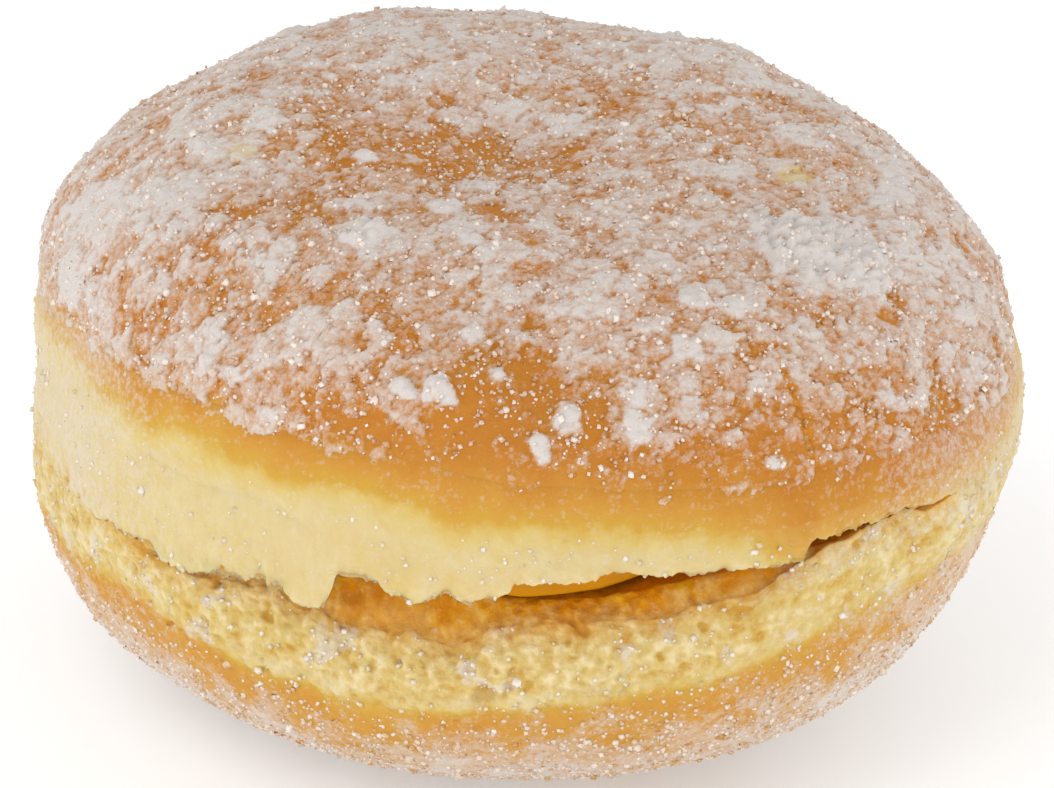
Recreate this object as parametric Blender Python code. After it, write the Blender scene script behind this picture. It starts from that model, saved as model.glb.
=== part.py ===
"""Cream-filled doughnut: a round fried bun, slit along its front, filled with custard and rolled in sugar.

Lengths are in millimetres until stand_on_origin, which turns them into metres. Azimuth 0 is the front (-Y)
and +90 degrees is the right (+X). Heights are measured from the level where the bun is widest.
"""

import math

import bmesh
import bpy
import numpy as np
from mathutils import Matrix, Vector

METRES = 0.001

# The bun's outer form: a superellipse above the widest level and another below it.
BUN_RADIUS = 44.6
CROWN_HEIGHT = 24.0
CROWN_POWER = 3.0
BELLY_DEPTH = 30.4
BELLY_POWER = 2.7
BASE_LEVEL = -29.4
BASE_SHIFT = -5.5
BOX_MIDDLE = (-0.20, 0.08)
WIDEST_TILT = 0.7
WIDEST_WAVE = 2.4
CROWN_TILT = (-2.3, 3.7)
OVALNESS = 0.05
DIMPLE_DEPTH = 2.3
DIMPLE_RADIUS = 12.0
DIMPLE_CENTRE = (1.5, -4.0)
COARSE_BUMPS = 0.45
FINE_BUMPS = 0.2
COARSE_LENGTH = 22
FINE_LENGTH = 11
CROWN_SEED = 31
BELLY_SEED = 28
WAVE_COUNT = 6
WAVE_SPREAD = (0.7, 1.4)
SEAM_HEIGHT = 4
NEAR_POLE = 0.999
BASE_STEEPNESS = math.radians(83)

# The slit: outlines of its edges as (azimuth in degrees, height), drawn from left to right.
SLIT_LEFT = math.radians(-62)
SLIT_RIGHT = math.radians(52)
CORNER_BLEND = math.radians(5)
POCKET_BACK = 38.0
LIP = (
    (-150, 0.5), (-90, -1.0), (-62, -3.7), (-50, -4.5), (-40, -4.7), (-29, -3.5), (-24, -4.9),
    (-21, -4.6), (-20, -1.3), (-16, -1.2), (-11, -2.2), (-7.5, -1.2), (-5, -1.9), (-2, -0.9),
    (0, 0.4), (9, 0.9), (17, 0.5), (27, 0.3), (29.5, 0.6), (30.5, 1.9), (42, 1.5), (52, 0.9),
    (62, 0.4), (90, 0.3), (150, 0.5),
)
FLOOR_EDGE = (
    (-150, -4.0), (-90, -5.0), (-62, -4.6), (-54, -4.9), (-44, -5.4), (-37, -5.5), (-30, -5.0),
    (-25, -6.2), (-20, -7.3), (-15, -6.9), (-6, -7.3), (-1.5, -5.6), (2.5, -4.8), (16.5, -4.4),
    (21.5, -2.9), (25, -2.6), (28, -0.9), (31.5, 0.0), (36, 0.7), (40, 1.1), (47, 0.9), (52, 0.5),
    (62, -0.4), (90, -2.5), (150, -4.0),
)
FLOOR_FOOT = (
    (-150, -3.5), (-90, -4.0), (-62, -3.8), (-54, -3.8), (-44, -4.3), (-37, -4.2), (-30, -3.4),
    (-22, -3.4), (-18, -2.6), (-12, -2.9), (-4, -2.9), (0, -3.2), (8, -2.9), (15, -1.8), (20, -1.0),
    (26, -0.7), (30, 0.0), (35, 0.6), (40, 0.8), (52, 0.5), (62, 0.0), (90, -1.0), (150, -3.5),
)
RIM = (
    (-150, -7.0), (-95, -12.0), (-78, -12.7), (-44, -11.2), (-23, -12.6), (-11, -13.2), (10, -10.6),
    (22, -10.2), (31, -7.3), (45, -5.9), (60, -4.6), (90, -5.5), (150, -7.0),
)
CRUST_EDGE = (
    (-150, 5.0), (-74, 8.0), (-54, 6.8), (-38, 6.0), (-22, 6.4), (-2, 5.4), (18, 4.4),
    (28, 3.6), (60, 3.6), (90, 4.4), (150, 5.0),
)

# The pocket behind the slit, as fractions of the way from the bun's outside to the pocket's far end.
ROOM_WIDEST = 4.3
ROOM_LEAST = 0.5
ROOM_POWER = 1.3
EDGE_INSET = 0.05
FOOT_INSET = 0.09
POCKET_INSETS = (0.045, 0.10, 0.30, 0.65, 1.0)
ROOF_SHARE = (0.95, 1.0, 1.0, 0.8, 0.4)
FLOOR_SHARE = (0.0, 0.0, 0.0, 0.0, 0.4)
FLOOR_INSETS = (0.65, 0.30, 0.09, 0.07)
CRUMB_BULGE = 0.012
CRUMB_UNEVEN = 0.006
CRUMB_LENGTH = 7
CRUMB_RING_STEP = 4.0
CRUMB_SEED = 6

# The mesh: rings from the crown's middle down to the base, and columns that are closer together at the front.
COLUMNS = 112
FRONT_CROWDING = 0.45
CROWN_RINGS = 14
COLLAR_RINGS = 3
CRUMB_RINGS = 5
BELLY_RINGS = 8

# The filling keeps this far from the pocket's walls.
CREAM_GAP = 0.35
CREAM_FRONT = 0.10
CREAM_RECEDING = 0.08
CREAM_BACK = 0.86
CREAM_MIDDLE = math.radians(4)
CREAM_SPREAD = math.radians(14)
CREAM_END = 0.15
CREAM_SQUARENESS = 0.5
CREAM_COLUMNS = 20
CREAM_RINGS = 26

# Caked lumps of sugar as (azimuth, steepness, length, width, height), angles in degrees.
BIG_LUMPS = (
    (50, 58, 13, 9, 2.4), (40, 60, 7, 6, 1.8), (-41, 23, 2.2, 2.0, 1.2), (-14, 33, 3.0, 2.6, 1.8),
    (-10, 34, 3.2, 2.8, 2.0), (-31, 61, 6.0, 5.0, 1.5), (-7, 47, 3.0, 2.4, 1.2), (2, 24, 1.6, 1.4, 0.9),
    (5, 31, 3.0, 2.0, 1.0), (13, 29, 3.4, 2.2, 1.1), (25, 51, 4.5, 3.5, 1.4), (-79, 60, 4.5, 3.6, 1.5),
    (29, 46, 2.4, 2.0, 1.1), (-56, 76, 5.0, 3.6, 1.4), (62, 86, 4.0, 3.2, 1.4), (-9, 76, 3.6, 2.6, 1.2),
)
LARGE_LUMP = 5.5
LUMP_UNEVEN = (0.88, 1.08)
SMALL_LUMPS = 22
SMALL_LENGTH = (1.6, 3.0)
SMALL_WIDTH_SHARE = (0.7, 1)
SMALL_HEIGHT_SHARE = 0.5
SMALL_STEEPNESS = (28, 76)
SUGAR_SEED = 11

DOUGH_COLOUR = (0.62, 0.33, 0.10)
DOUGH_ROUGHNESS = 0.65
CREAM_COLOUR = (0.80, 0.47, 0.05)
CREAM_ROUGHNESS = 0.35


def outline(points, azimuth):
    """The height of an edge at these azimuths, closed round the back of the bun."""
    degrees = np.degrees(azimuth)
    return np.interp(degrees, [p[0] for p in points], [p[1] for p in points], period=360)


def waves(x, y, z, length, seed):
    """Gentle unevenness between about -1 and 1, with bumps about half of length wide."""
    draw = np.random.default_rng(seed)
    total = 0
    for _ in range(WAVE_COUNT):
        direction = draw.normal(size=3)
        direction /= np.linalg.norm(direction)
        scale = 2 * math.pi / length * draw.uniform(*WAVE_SPREAD)
        along = direction[0] * x + direction[1] * y + direction[2] * z
        total = total + np.sin(along * scale + draw.uniform(0, 2 * math.pi))
    return 2 * total / WAVE_COUNT


def smooth(value):
    value = np.clip(value, 0, 1)
    return value * value * (3 - 2 * value)


def widest_level(azimuth):
    return -WIDEST_TILT * np.sin(azimuth) - WIDEST_WAVE * np.sin(2 * azimuth)


def oval(azimuth):
    return 1 + OVALNESS * np.sin(2 * azimuth)


def crown_point(azimuth, lift):
    """A point of the upper half; lift is 0 at the widest level and 1 at the middle of the crown."""
    radius = BUN_RADIUS * (1 - lift**CROWN_POWER) ** (1 / CROWN_POWER) * oval(azimuth)
    x = radius * np.sin(azimuth)
    y = -radius * np.cos(azimuth)
    tilt = (CROWN_TILT[0] * x + CROWN_TILT[1] * y) / BUN_RADIUS
    z = widest_level(azimuth) * (1 - lift) + (CROWN_HEIGHT + tilt) * lift
    off_centre = np.hypot(x - DIMPLE_CENTRE[0], y - DIMPLE_CENTRE[1])
    z = z - DIMPLE_DEPTH * np.exp(-((off_centre / DIMPLE_RADIUS) ** 2))
    uneven = COARSE_BUMPS * waves(x, y, z, COARSE_LENGTH, CROWN_SEED)
    uneven = uneven + FINE_BUMPS * waves(x, y, z, FINE_LENGTH, CROWN_SEED + 1)
    outward = uneven / BUN_RADIUS
    return x + outward * x, y + outward * y, z + uneven * lift


def belly_point(azimuth, drop):
    """A point of the lower half; drop is 0 at the widest level and 1 at the middle of the base."""
    radius = BUN_RADIUS * (1 - drop**BELLY_POWER) ** (1 / BELLY_POWER) * oval(azimuth)
    x = radius * np.sin(azimuth) + BASE_SHIFT * drop
    y = -radius * np.cos(azimuth)
    z = widest_level(azimuth) * (1 - drop) - BELLY_DEPTH * drop
    uneven = COARSE_BUMPS * waves(x, y, z, COARSE_LENGTH, BELLY_SEED) / BUN_RADIUS
    return x + uneven * x, y + uneven * y, np.maximum(z, BASE_LEVEL)


def side_point(azimuth, height):
    """The bun's outside at this height, which lies near the widest level."""
    level = widest_level(azimuth)
    lift = np.clip((height - level) / (CROWN_HEIGHT - level), 0, NEAR_POLE)
    drop = np.clip((level - height) / (BELLY_DEPTH + level), 0, NEAR_POLE)
    upper_x, upper_y, _ = crown_point(azimuth, lift)
    lower_x, lower_y, _ = belly_point(azimuth, drop)
    below = smooth(0.5 + (level - height) / SEAM_HEIGHT)
    return upper_x + (lower_x - upper_x) * below, upper_y + (lower_y - upper_y) * below


def openness(azimuth):
    """1 along the slit and 0 round the uncut rest of the bun."""
    return smooth(np.minimum(azimuth - SLIT_LEFT, SLIT_RIGHT - azimuth) / CORNER_BLEND)


def pocket_end(azimuth):
    """Where the pocket stops: half an ellipse that bulges back from one corner of the slit to the other."""
    turn = math.pi * np.clip((azimuth - SLIT_LEFT) / (SLIT_RIGHT - SLIT_LEFT), 0, 1)
    left = BUN_RADIUS * np.array([math.sin(SLIT_LEFT), -math.cos(SLIT_LEFT)])
    right = BUN_RADIUS * np.array([math.sin(SLIT_RIGHT), -math.cos(SLIT_RIGHT)])
    middle = (left + right) / 2
    half = (right - left) / 2
    x = middle[0] - half[0] * np.cos(turn)
    y = middle[1] - half[1] * np.cos(turn) + POCKET_BACK * np.sin(turn)
    return x, y


def slit_point(azimuth, inset, height):
    """A point at this height, pulled from the bun's outside towards the pocket's far end."""
    outer_x, outer_y = side_point(azimuth, height)
    end_x, end_y = pocket_end(azimuth)
    pull = inset * openness(azimuth)
    return outer_x + (end_x - outer_x) * pull, outer_y + (end_y - outer_y) * pull, height


def pocket_room(azimuth):
    """The pocket's inner height, greatest in the middle of the slit."""
    middle = (SLIT_LEFT + SLIT_RIGHT) / 2
    half = (SLIT_RIGHT - SLIT_LEFT) / 2
    across = np.clip(np.abs(azimuth - middle) / half, 0, 1)
    return (ROOM_WIDEST - ROOM_LEAST) * np.cos(across * math.pi / 2) ** ROOM_POWER + ROOM_LEAST


def roof_height(azimuth, inset):
    share = np.interp(inset, POCKET_INSETS, ROOF_SHARE)
    return outline(FLOOR_FOOT, azimuth) + share * pocket_room(azimuth)


def floor_height(azimuth, inset):
    """The floor climbs from the crumb's edge to its foot, lies level and meets the roof at the far end."""
    edge = outline(FLOOR_EDGE, azimuth)
    climb = smooth((inset - EDGE_INSET) / (FOOT_INSET - EDGE_INSET))
    share = np.interp(inset, POCKET_INSETS, FLOOR_SHARE)
    return edge + (outline(FLOOR_FOOT, azimuth) - edge) * climb + share * pocket_room(azimuth)


def crown_rings(azimuth):
    """From the crown's middle to the lower edge of the crust, which the last ring meets."""
    edge = outline(CRUST_EDGE, azimuth)
    level = widest_level(azimuth)
    lowest = np.arcsin(((edge - level) / (CROWN_HEIGHT - level)) ** (CROWN_POWER / 2))
    missed = edge - crown_point(azimuth, np.sin(lowest) ** (2 / CROWN_POWER))[2]
    for ring in range(1, CROWN_RINGS + 1):
        steepness = math.pi / 2 + (lowest - math.pi / 2) * ring / CROWN_RINGS
        x, y, z = crown_point(azimuth, np.sin(steepness) ** (2 / CROWN_POWER))
        yield x, y, z + missed * (ring / CROWN_RINGS) ** 3


def collar_rings(azimuth):
    """The pale collar from the crust down to the lip."""
    top = outline(CRUST_EDGE, azimuth)
    lip = outline(LIP, azimuth)
    for ring in range(1, COLLAR_RINGS + 1):
        height = top + (lip - top) * ring / COLLAR_RINGS
        yield (*side_point(azimuth, height), height)


def pocket_rings(azimuth):
    """The roof of the pocket inwards, then its floor outwards; both close up beyond the slit's corners."""
    lip = outline(LIP, azimuth)
    edge = outline(FLOOR_EDGE, azimuth)
    opened = openness(azimuth)
    walls = [(inset, roof_height) for inset in POCKET_INSETS]
    walls += [(inset, floor_height) for inset in FLOOR_INSETS]
    for number, (inset, wall) in enumerate(walls, 1):
        shut = lip + (edge - lip) * number / (len(walls) + 1)
        yield slit_point(azimuth, inset, shut + (wall(azimuth, inset) - shut) * opened)


def crumb_rings(azimuth):
    """The torn crumb face, from the floor's edge out and down to the rim of the lower crust."""
    edge = outline(FLOOR_EDGE, azimuth)
    rim = outline(RIM, azimuth)
    for ring in range(CRUMB_RINGS + 1):
        way = ring / CRUMB_RINGS
        inset = EDGE_INSET * (1 - way) - CRUMB_BULGE * math.sin(math.pi * way)
        torn = CRUMB_UNEVEN * waves(azimuth * BUN_RADIUS, ring * CRUMB_RING_STEP, 0, CRUMB_LENGTH, CRUMB_SEED)
        yield slit_point(azimuth, inset + torn * math.sin(math.pi * way), edge + (rim - edge) * way)


def belly_rings(azimuth):
    """From the rim to the flat base."""
    rim = outline(RIM, azimuth)
    level = widest_level(azimuth)
    highest = np.arcsin(((level - rim) / (BELLY_DEPTH + level)) ** (BELLY_POWER / 2))
    for ring in range(1, BELLY_RINGS + 1):
        steepness = highest + (BASE_STEEPNESS - highest) * ring / BELLY_RINGS
        yield belly_point(azimuth, np.sin(steepness) ** (2 / BELLY_POWER))


def sphere_mesh(columns, rings):
    """A UV sphere, and for each of its vertices the ring counted from the top and the turn from the front."""
    bm = bmesh.new()
    bmesh.ops.create_uvsphere(bm, u_segments=columns, v_segments=rings + 1, radius=1)
    places = []
    for vertex in bm.verts:
        ring = round(math.acos(max(-1, min(1, vertex.co.z))) / math.pi * (rings + 1))
        places.append((ring, math.atan2(vertex.co.x, -vertex.co.y)))
    return bm, places


def add_object(name, bm, collection):
    mesh = bpy.data.meshes.new(name)
    bm.to_mesh(mesh)
    bm.free()
    mesh.shade_smooth()
    made = bpy.data.objects.new(name, mesh)
    collection.objects.link(made)
    return made


def all_rings(azimuth):
    for rings in (crown_rings, collar_rings, pocket_rings, crumb_rings, belly_rings):
        yield from rings(azimuth)


def add_dough(collection):
    """The bun in one closed surface, whose rings turn in at the lip and come out again at the crumb."""
    turns = np.linspace(-math.pi, math.pi, COLUMNS, endpoint=False)
    azimuths = turns - FRONT_CROWDING * np.sin(turns)
    rings = [np.stack(np.broadcast_arrays(*ring)) for ring in all_rings(azimuths)]
    bm, places = sphere_mesh(COLUMNS, len(rings))
    for vertex, (ring, turn) in zip(bm.verts, places):
        column = round((turn + math.pi) / (2 * math.pi) * COLUMNS) % COLUMNS
        if ring == 0:
            vertex.co = [float(value) for value in crown_point(0.0, 1.0)]
        elif ring > len(rings):
            vertex.co = BASE_SHIFT, 0, BASE_LEVEL
        else:
            vertex.co = rings[ring - 1][:, column]
    bmesh.ops.triangulate(bm, faces=bm.faces)
    return add_object("dough", bm, collection)


def cream_front(azimuth):
    """How far in the custard's face lies: it comes nearest just right of the middle."""
    return CREAM_FRONT + CREAM_RECEDING * (1 - math.exp(-(((azimuth - CREAM_MIDDLE) / CREAM_SPREAD) ** 2)))


def add_cream(collection):
    """The custard: a sphere along the slit, each of its rings fitted between the pocket's roof and floor."""
    bm, places = sphere_mesh(CREAM_COLUMNS, CREAM_RINGS)
    for vertex, (ring, turn) in zip(bm.verts, places):
        along = ring / (CREAM_RINGS + 1)
        azimuth = SLIT_LEFT + (SLIT_RIGHT - SLIT_LEFT) * (CREAM_END + (1 - 2 * CREAM_END) * along)
        fullness = math.sin(math.pi * along) ** CREAM_SQUARENESS
        front = cream_front(azimuth)
        middle = (front + CREAM_BACK) / 2
        inset = middle - (CREAM_BACK - front) / 2 * math.cos(turn) * fullness
        upright = math.copysign(abs(math.sin(turn)) ** CREAM_SQUARENESS, math.sin(turn)) * fullness
        roof = float(roof_height(azimuth, inset)) - CREAM_GAP
        floor = float(floor_height(azimuth, inset)) + CREAM_GAP
        height = (roof + floor) / 2 + (roof - floor) / 2 * upright
        vertex.co = [float(value) for value in slit_point(azimuth, inset, height)]
    return add_object("cream", bm, collection)


def crown_frame(azimuth, steepness):
    """A matrix that stands on the crown there, with Z outwards and X around the bun."""
    def place(a, s):
        return Vector([float(value) for value in crown_point(a, math.sin(s) ** (2 / CROWN_POWER))])

    step = 0.02
    here = place(azimuth, steepness)
    around = (place(azimuth + step, steepness) - here).normalized()
    upwards = place(azimuth, min(steepness + step, math.pi / 2)) - here
    outwards = around.cross(upwards).normalized()
    upwards = outwards.cross(around)
    return Matrix.Translation(here) @ Matrix((around, upwards, outwards)).transposed().to_4x4()


def lump_sizes():
    """The big lumps by hand, then small ones strewn over the crown by a seeded rule."""
    yield from BIG_LUMPS
    draw = np.random.default_rng(SUGAR_SEED)
    for _ in range(SMALL_LUMPS):
        length = draw.uniform(*SMALL_LENGTH)
        azimuth = draw.uniform(-180, 180)
        steepness = draw.uniform(*SMALL_STEEPNESS)
        width = length * draw.uniform(*SMALL_WIDTH_SHARE)
        yield azimuth, steepness, length, width, length * SMALL_HEIGHT_SHARE


def add_lumps(collection):
    draw = np.random.default_rng(SUGAR_SEED + 1)
    for azimuth, steepness, length, width, height in lump_sizes():
        bm = bmesh.new()
        bmesh.ops.create_icosphere(bm, subdivisions=2 if length > LARGE_LUMP else 1, radius=1)
        for vertex in bm.verts:
            vertex.co *= draw.uniform(*LUMP_UNEVEN)
        bmesh.ops.scale(bm, vec=(length / 2, width / 2, height), verts=bm.verts)
        spin = Matrix.Rotation(0 if length > LARGE_LUMP else draw.uniform(0, math.pi), 4, "Z")
        frame = crown_frame(math.radians(azimuth), math.radians(steepness))
        bmesh.ops.transform(bm, matrix=frame @ spin, verts=bm.verts)
        add_object("sugar_lump", bm, collection)


def fuse(dough, lumps):
    """Joins the lumps to the dough with one union, then removes them."""
    union = dough.modifiers.new("lumps", "BOOLEAN")
    union.operation = "UNION"
    union.operand_type = "COLLECTION"
    union.collection = lumps
    union.solver = "MANIFOLD"
    graph = bpy.context.evaluated_depsgraph_get()
    fused = bpy.data.meshes.new_from_object(dough.evaluated_get(graph))
    dough.modifiers.clear()
    dough.data = fused
    for lump in list(lumps.objects):
        bpy.data.objects.remove(lump)
    bpy.data.collections.remove(lumps)


def stand_on_origin(objects):
    """Turns millimetres into metres and puts the middle of the bounding box's base on the origin."""
    shift = Matrix.Translation(-Vector((*BOX_MIDDLE, BASE_LEVEL)))
    for made in objects:
        made.data.transform(Matrix.Scale(METRES, 4) @ shift)


def add_material(made, name, colour, roughness):
    material = bpy.data.materials.new(name)
    material.use_nodes = True
    shader = material.node_tree.nodes["Principled BSDF"]
    shader.inputs["Base Color"].default_value = (*colour, 1)
    shader.inputs["Roughness"].default_value = roughness
    shader.inputs["Metallic"].default_value = 0
    made.data.materials.clear()
    made.data.materials.append(material)


def main():
    for old in list(bpy.data.objects):
        bpy.data.objects.remove(old)
    doughnut = bpy.data.collections.new("cream_filled_doughnut")
    bpy.context.scene.collection.children.link(doughnut)
    lumps = bpy.data.collections.new("sugar_lumps")
    bpy.context.scene.collection.children.link(lumps)
    dough = add_dough(doughnut)
    cream = add_cream(doughnut)
    add_lumps(lumps)
    fuse(dough, lumps)
    stand_on_origin([dough, cream])
    add_material(dough, "fried_dough", DOUGH_COLOUR, DOUGH_ROUGHNESS)
    add_material(cream, "custard", CREAM_COLOUR, CREAM_ROUGHNESS)


main()
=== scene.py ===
"""The looks of the cream-filled doughnut: crust, torn crumb, custard and sugar, on a pale studio floor.

Lengths are in millimetres until add_piece, which turns them into metres. Azimuth 0 is the front (-Y) and
+90 degrees is the right (+X). Heights are measured from the level where the bun is widest.
"""

import math

import bpy
import numpy as np
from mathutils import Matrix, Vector, noise

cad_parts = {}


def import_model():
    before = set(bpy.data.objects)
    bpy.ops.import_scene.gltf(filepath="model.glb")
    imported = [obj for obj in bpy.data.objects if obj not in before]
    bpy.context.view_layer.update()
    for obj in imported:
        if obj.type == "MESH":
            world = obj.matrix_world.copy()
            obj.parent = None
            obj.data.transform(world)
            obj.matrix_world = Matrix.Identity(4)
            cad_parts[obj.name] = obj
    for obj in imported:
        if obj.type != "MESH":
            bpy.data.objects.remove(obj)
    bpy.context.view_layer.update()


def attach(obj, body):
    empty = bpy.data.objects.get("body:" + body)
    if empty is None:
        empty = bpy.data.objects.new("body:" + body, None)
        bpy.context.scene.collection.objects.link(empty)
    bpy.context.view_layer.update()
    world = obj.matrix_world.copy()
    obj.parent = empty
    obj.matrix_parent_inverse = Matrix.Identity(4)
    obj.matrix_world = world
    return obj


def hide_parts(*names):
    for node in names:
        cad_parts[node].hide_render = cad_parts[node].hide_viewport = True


METRES = 0.001

# The bun's outer form, as in the solids: a superellipse above the widest level and another below it.
BUN_RADIUS = 44.6
CROWN_HEIGHT = 24.0
CROWN_POWER = 3.0
BELLY_DEPTH = 30.4
BELLY_POWER = 2.7
BASE_LEVEL = -29.4
BASE_SHIFT = -5.5
BOX_MIDDLE = (-0.20, 0.08)
WIDEST_TILT = 0.7
WIDEST_WAVE = 2.4
CROWN_TILT = (-2.3, 3.7)
OVALNESS = 0.05
DIMPLE_DEPTH = 2.3
DIMPLE_RADIUS = 12.0
DIMPLE_CENTRE = (1.5, -4)
COARSE_BUMPS = 0.45
FINE_BUMPS = 0.2
COARSE_LENGTH = 22
FINE_LENGTH = 11
CROWN_SEED = 31
BELLY_SEED = 28
WAVE_COUNT = 6
WAVE_SPREAD = (0.7, 1.4)
SEAM_HEIGHT = 4
NEAR_POLE = 0.999
BASE_STEEPNESS = math.radians(83)

# The slit: outlines of its edges as (azimuth in degrees, height), drawn from left to right.
SLIT_LEFT = math.radians(-62)
SLIT_RIGHT = math.radians(52)
CORNER_BLEND = math.radians(5)
LEFT_BLEND = math.radians(24)
SHALLOW_END = math.radians(20)
LEAST_REACH = 0.05
TORN_END = math.radians(105)
TORN_BLEND = math.radians(25)
POCKET_BACK = 38.0
LIP = (
    (-150, 0.5), (-90, -1), (-62, -3.7), (-50, -4.5), (-40, -4.7), (-29, -3.5), (-24, -4.9),
    (-21, -4.6), (-20, -1.3), (-16, -1.2), (-11, -2.2), (-7.5, -1.2), (-5, -1.9), (-2, -0.9),
    (0, 0.4), (9, 0.9), (17, 0.5), (27, 0.3), (29.5, 0.6), (30.5, 1.9), (42, 1.5), (52, 0.9),
    (62, 0.4), (90, 0.3), (150, 0.5),
)
FLOOR_EDGE = (
    (-150, -4), (-90, -5), (-62, -4.6), (-54, -4.9), (-44, -5.4), (-37, -5.5), (-30, -5),
    (-25, -6.2), (-20, -7.3), (-15, -6.9), (-6, -7.3), (-1.5, -5.6), (2.5, -4.8), (16.5, -4.4),
    (21.5, -2.9), (25, -2.6), (28, -0.9), (31.5, 0), (36, 0.7), (40, 1.1), (47, 0.9), (52, 0.5),
    (62, -0.4), (90, -2.5), (150, -4),
)
FLOOR_FOOT = (
    (-150, -3.5), (-90, -4), (-62, -3.5), (-54, -3.4), (-44, -4), (-37, -4.1), (-30, -3.4),
    (-22, -3.4), (-18, -2.6), (-12, -2.9), (-4, -3.2), (0, -3.7), (8, -3.4), (15, -2.3), (20, -1.3),
    (26, -0.7), (30, 0), (35, 0.6), (40, 0.8), (52, 0.5), (62, 0), (90, -1), (150, -3.5),
)
RIM = (
    (-150, -7), (-95, -12), (-78, -12.7), (-44, -11.2), (-23, -12.6), (-11, -13.2), (10, -10.6),
    (22, -10.2), (31, -7.3), (45, -5.9), (60, -4.6), (90, -5.5), (150, -7),
)
CRUST_EDGE = (
    (-150, 5), (-74, 8), (-54, 6.8), (-38, 6), (-22, 6.4), (-2, 5.4), (18, 4.4),
    (28, 3.6), (60, 3.6), (90, 4.4), (150, 5),
)
# Where the crust begins to brown above the pale collar.
PALE_EDGE = (
    (-150, 1), (-74, 4), (-54, 3.4), (-38, 3.3), (-22, 2.9), (-2, 1.6), (14, 0.6),
    (24, -0.8), (30, -3.4), (55, -3.4), (68, -0.5), (80, 2), (150, 1),
)
# A shallow crease along the left of the collar: its line, its ends in degrees, its depth and its width.
CREASE = ((-55, 2.4), (-47, 3.4), (-41, 2.9), (-34, 3.6), (-28, 3), (-20, 2.2))
CREASE_ENDS = (-53, -21)
CREASE_BLEND = 5
CREASE_DEPTH = 0.45
CREASE_WIDTH = 0.7
# The lower edge of the smooth pale strip below the slit's right end, which starts at STRIP_LEFT.
STRIP = ((20, -2.9), (28, -3.2), (34, -2.7), (39, -2.3), (45, -2), (53, -1.9), (59, -2.2), (80, -3.5))
STRIP_LEFT = math.radians(20)
STRIP_BLEND = math.radians(7)
# Noise along the lip and the floor's edge: (height, length, octaves, seed). The lip's left is rougher.
TEETH = ((0.38, 1.6, 3, 1), (0.2, 0.7, 3, 2), (0.25, 0.33, 1, 4))
EDGE_NOISE = (0.7, 3, 3, 3)
ROUGHER = 0.3
ROUGHER_LEFT = math.radians(-18)
ROUGHER_BLEND = math.radians(8)

# The pocket behind the slit: its inner height, and the shape of its roof and floor by share of the way in.
ROOM_WIDEST = 4.3
ROOM_LEAST = 0.5
ROOM_POWER = 1.3
ROOF_NEARNESS = 0.6
EDGE_INSET = 0.05
FOOT_INSET = 0.09
POCKET_INSETS = (0.045, 0.10, 0.30, 0.65, 1)
ROOF_SHARE = (0.95, 1, 1, 0.8, 0.4)
FLOOR_SHARE = (0, 0, 0, 0, 0.4)
CRUMB_BULGE = 0.012

# The dressed dough's mesh. A crowding power over 1 puts the rings closer together at their start or end.
COLUMNS = 720
FRONT_CROWDING = 0.5
CROWN_RINGS = 18
CROWN_CROWDING = 1.6
COLLAR_RINGS = 16
COLLAR_CROWDING = 1.5
ROOF_INSETS = (0.006, 0.014, 0.025, 0.04, 0.06, 0.085, 0.12, 0.2, 0.45, 1)
SLOPE_RINGS = 17
SHADED_RINGS = 13
FLOOR_INSETS = (0.6, 0.25, 0.13, 0.11, *np.linspace(0.1, 0.0525, SLOPE_RINGS).tolist())
FOOT_RINGS = 4
CRUMB_RINGS = 40
BELLY_RINGS = 24
BELLY_CROWDING = 1.4
# How torn each part of the dough looks: 0 is smooth and 1 is open crumb. The collar's is
# (at its top, added at the lip, power).
COLLAR_CRUMB = (0.15, 0.35, 6)
ROOF_CRUMB = 0.6
FLOOR_CRUMB = 0.9
CRUMB_FADING_RINGS = 4

# Fine relief of the dough, as layers of noise: (depth, length, octaves, seed).
CRAGS = ((0.24, 2.8, 3, 21), (0.24, 0.85, 4, 22))
SKIN = ((0.10, 3.5, 3, 24), (0.04, 0.9, 2, 25))
OPEN_PORES = (1.5, 2, 2, 23)
PORE_LEAST = 0.5
FOOT_CRAGS = 0.35
# The crumb is calmer to the right of this azimuth.
CALM = 0.55
CALM_LEFT = math.radians(8)
CALM_BLEND = math.radians(14)
# A single larger pore: (azimuth in degrees, height, radius, depth).
PORE = (-1.5, -11, 1.1, 0.9)

# The browning of the crust: the distances over which the crown and the belly turn brown.
BLOTCHES = ((1.1, 7, 3, 11), (0.5, 2, 2, 12))
CROWN_BROWNING = 10
BELLY_BROWNING = 4
BELLY_TOAST = 0.62
BELLY_LEAD = 1.8
EARLY_CRUST = 2.2
EARLY_RIGHT = math.radians(-34)
EARLY_BLEND = math.radians(16)
CRUMB_END_NOISE = (0.8, 2.4, 3, 45)
CRUMB_END_LEAD = 2
CRUMB_END_BLEND = 3
# Painted shade: a warm orange tone painted in under the lip, standing in for the shade and the light bounced
# about in the pocket; it is fainter at the slit's left end.
DEEP_NOISE = (0.5, 1.2, 3, 44)
DEEP_FULL = 1.15
DEEP_OPENNESS = 0.05
DEEP_LEAST = 0.4
DEEP_LEFT = math.radians(-52)
DEEP_BLEND = math.radians(12)

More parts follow.
